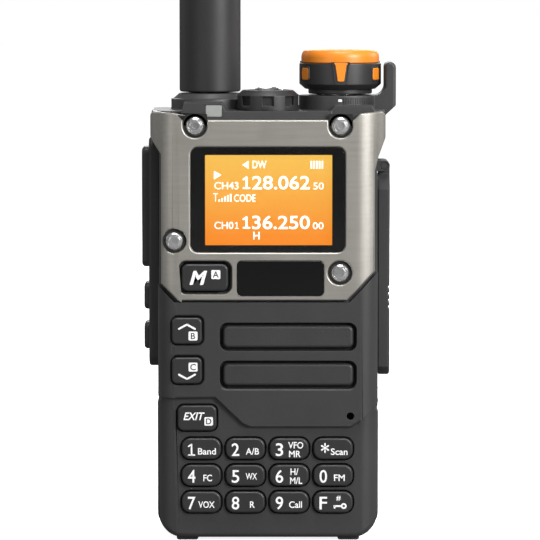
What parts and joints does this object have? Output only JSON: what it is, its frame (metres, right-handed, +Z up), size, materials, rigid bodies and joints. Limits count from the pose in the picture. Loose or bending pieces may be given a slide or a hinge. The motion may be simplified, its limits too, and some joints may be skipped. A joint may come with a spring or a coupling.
{
  "type": "handheld two-way radio",
  "caption": "Compact handheld two-way radio with whip antenna, amber display, front keypad, volume knob, torch, side buttons, socket cover, swing-out battery and belt clip.",
  "frame": {"origin": "middle of the footprint on the floor, midway between the front keys and the back of the belt clip", "axes": "+Z up along the antenna, -Y out of the front face, +X to the side with the volume knob as seen from the front"},
  "size_m": [0.0611, 0.042, 0.2641],
  "materials": {
    "black_shell": "fine texture moulded black",
    "black_trim": "satin moulded black",
    "key_black": "smooth satin key caps",
    "gunmetal": "warm grey metallic satin",
    "screw_steel": "polished",
    "plain_steel": "satin",
    "window_glass": "black bordered clear glass",
    "display_amber": "backlit amber",
    "diffuser": "milky diffuser",
    "badge_black": "high gloss black",
    "orange": "satin orange",
    "antenna_rubber": "matte black rubber",
    "soft_rubber": "soft black rubber",
    "mat_rubber": "grey silicone",
    "board_green": "solder mask green",
    "alloy": "black painted die casting",
    "reflector_chrome": "mirror bright",
    "clear_lens": "clear",
    "light_grey": "milky grey light pipe",
    "led_yellow": "phosphor",
    "contact_gold": "gold plated",
    "cell_wrap": "shrink wrap",
    "spring_steel": "bright wire",
    "speaker_metal": "plated basket"
  },
  "bodies": {
    "radio": {"front_casing": "black_shell", "face_plate": "gunmetal", "plate_screws": "screw_steel", "display_window": "window_glass", "display_panel": "display_amber", "display_backlight": "diffuser", "badge_plate": "badge_black", "speaker_grille": "black_trim", "speaker": "speaker_metal", "microphone": "plain_steel", "main_board": "board_green", "keypad_membrane": "mat_rubber", "rear_chassis": "alloy", "chassis_screws": "plain_steel", "top_housing": "black_shell", "antenna_socket": "contact_gold", "volume_control": "plain_steel", "torch_bezel": "black_trim", "torch_reflector": "reflector_chrome", "torch_lens": "clear_lens", "torch_led": "led_yellow", "status_light": "light_grey", "side_rail": "black_trim", "side_switches": "board_green", "jack_block": "black_trim", "usb_socket": "plain_steel", "battery_contacts": "contact_gold"},
    "key_1": {"key_1": "key_black"},
    "key_2": {"key_2": "key_black"},
    "key_3": {"key_3": "key_black"},
    "key_star": {"key_star": "key_black"},
    "key_4": {"key_4": "key_black"},
    "key_5": {"key_5": "key_black"},
    "key_6": {"key_6": "key_black"},
    "key_0": {"key_0": "key_black"},
    "key_7": {"key_7": "key_black"},
    "key_8": {"key_8": "key_black"},
    "key_9": {"key_9": "key_black"},
    "key_func": {"key_func": "key_black"},
    "key_exit": {"key_exit": "key_black"},
    "key_down": {"key_down": "key_black"},
    "key_up": {"key_up": "key_black"},
    "key_menu": {"key_menu": "key_black"},
    "ptt_button": {"ptt_button": "soft_rubber"},
    "side_key_upper": {"side_key_upper": "soft_rubber"},
    "side_key_lower": {"side_key_lower": "soft_rubber"},
    "knob": {"knob_body": "black_trim", "knob_cap": "orange", "volume_shaft": "plain_steel"},
    "antenna": {"antenna_whip": "antenna_rubber", "antenna_plug": "contact_gold"},
    "jack_cover": {"jack_cover": "soft_rubber"},
    "battery": {"battery_case": "black_shell", "battery_lid": "black_shell", "battery_cells": "cell_wrap", "battery_terminals": "contact_gold", "battery_latch": "black_trim"},
    "clip": {"belt_clip": "black_trim", "clip_pin": "plain_steel", "clip_spring": "spring_steel"}
  },
  "joints": [
    {"name": "key_1_press", "type": "slide", "parent": "radio", "child": "key_1", "axis": [0, 1, 0], "range_m": [0, 0.0006], "stiffness_N_per_m": 200},
    {"name": "key_2_press", "type": "slide", "parent": "radio", "child": "key_2", "axis": [0, 1, 0], "range_m": [0, 0.0006], "stiffness_N_per_m": 200},
    {"name": "key_3_press", "type": "slide", "parent": "radio", "child": "key_3", "axis": [0, 1, 0], "range_m": [0, 0.0006], "stiffness_N_per_m": 200},
    {"name": "key_star_press", "type": "slide", "parent": "radio", "child": "key_star", "axis": [0, 1, 0], "range_m": [0, 0.0006], "stiffness_N_per_m": 200},
    {"name": "key_4_press", "type": "slide", "parent": "radio", "child": "key_4", "axis": [0, 1, 0], "range_m": [0, 0.0006], "stiffness_N_per_m": 200},
    {"name": "key_5_press", "type": "slide", "parent": "radio", "child": "key_5", "axis": [0, 1, 0], "range_m": [0, 0.0006], "stiffness_N_per_m": 200},
    {"name": "key_6_press", "type": "slide", "parent": "radio", "child": "key_6", "axis": [0, 1, 0], "range_m": [0, 0.0006], "stiffness_N_per_m": 200},
    {"name": "key_0_press", "type": "slide", "parent": "radio", "child": "key_0", "axis": [0, 1, 0], "range_m": [0, 0.0006], "stiffness_N_per_m": 200},
    {"name": "key_7_press", "type": "slide", "parent": "radio", "child": "key_7", "axis": [0, 1, 0], "range_m": [0, 0.0006], "stiffness_N_per_m": 200},
    {"name": "key_8_press", "type": "slide", "parent": "radio", "child": "key_8", "axis": [0, 1, 0], "range_m": [0, 0.0006], "stiffness_N_per_m": 200},
    {"name": "key_9_press", "type": "slide", "parent": "radio", "child": "key_9", "axis": [0, 1, 0], "range_m": [0, 0.0006], "stiffness_N_per_m": 200},
    {"name": "key_func_press", "type": "slide", "parent": "radio", "child": "key_func", "axis": [0, 1, 0], "range_m": [0, 0.0006], "stiffness_N_per_m": 200},
    {"name": "key_exit_press", "type": "slide", "parent": "radio", "child": "key_exit", "axis": [0, 1, 0], "range_m": [0, 0.0006], "stiffness_N_per_m": 200},
    {"name": "key_down_press", "type": "slide", "parent": "radio", "child": "key_down", "axis": [0, 1, 0], "range_m": [0, 0.0006], "stiffness_N_per_m": 200},
    {"name": "key_up_press", "type": "slide", "parent": "radio", "child": "key_up", "axis": [0, 1, 0], "range_m": [0, 0.0006], "stiffness_N_per_m": 200},
    {"name": "key_menu_press", "type": "slide", "parent": "radio", "child": "key_menu", "axis": [0, 1, 0], "range_m": [0, 0.0006], "stiffness_N_per_m": 200},
    {"name": "ptt_button_press", "type": "slide", "parent": "radio", "child": "ptt_button", "axis": [1, 0, 0], "range_m": [0, 0.001], "stiffness_N_per_m": 300},
    {"name": "side_key_upper_press", "type": "slide", "parent": "radio", "child": "side_key_upper", "axis": [1, 0, 0], "range_m": [0, 0.0006], "stiffness_N_per_m": 300},
    {"name": "side_key_lower_press", "type": "slide", "parent": "radio", "child": "side_key_lower", "axis": [1, 0, 0], "range_m": [0, 0.0006], "stiffness_N_per_m": 300},
    {"name": "knob_turn", "type": "hinge", "parent": "radio", "child": "knob", "pos_m": [0.01745, -0.0036, 0.1078], "axis": [0, 0, -1], "range_deg": [0, 280]},
    {"name": "antenna_turn", "type": "hinge", "parent": "radio", "child": "antenna", "pos_m": [-0.014, -0.0016, 0.1071], "axis": [0, 0, 1], "range_deg": [0, 360]},
    {"name": "jack_cover_swing", "type": "hinge", "parent": "radio", "child": "jack_cover", "pos_m": [0.028, -0.0041, 0.08945], "axis": [0, -1, 0], "range_deg": [0, 120]},
    {"name": "battery_swing", "type": "hinge", "parent": "radio", "child": "battery", "pos_m": [0, 0.00455, 0.0018], "axis": [-1, 0, 0], "range_deg": [0, 25], "deforming": ["battery_latch"]},
    {"name": "clip_open", "type": "hinge", "parent": "battery", "child": "clip", "pos_m": [0, 0.01695, 0.063], "axis": [1, 0, 0], "range_deg": [0, 15], "stiffness_Nm_per_rad": 0.05}
  ]
}
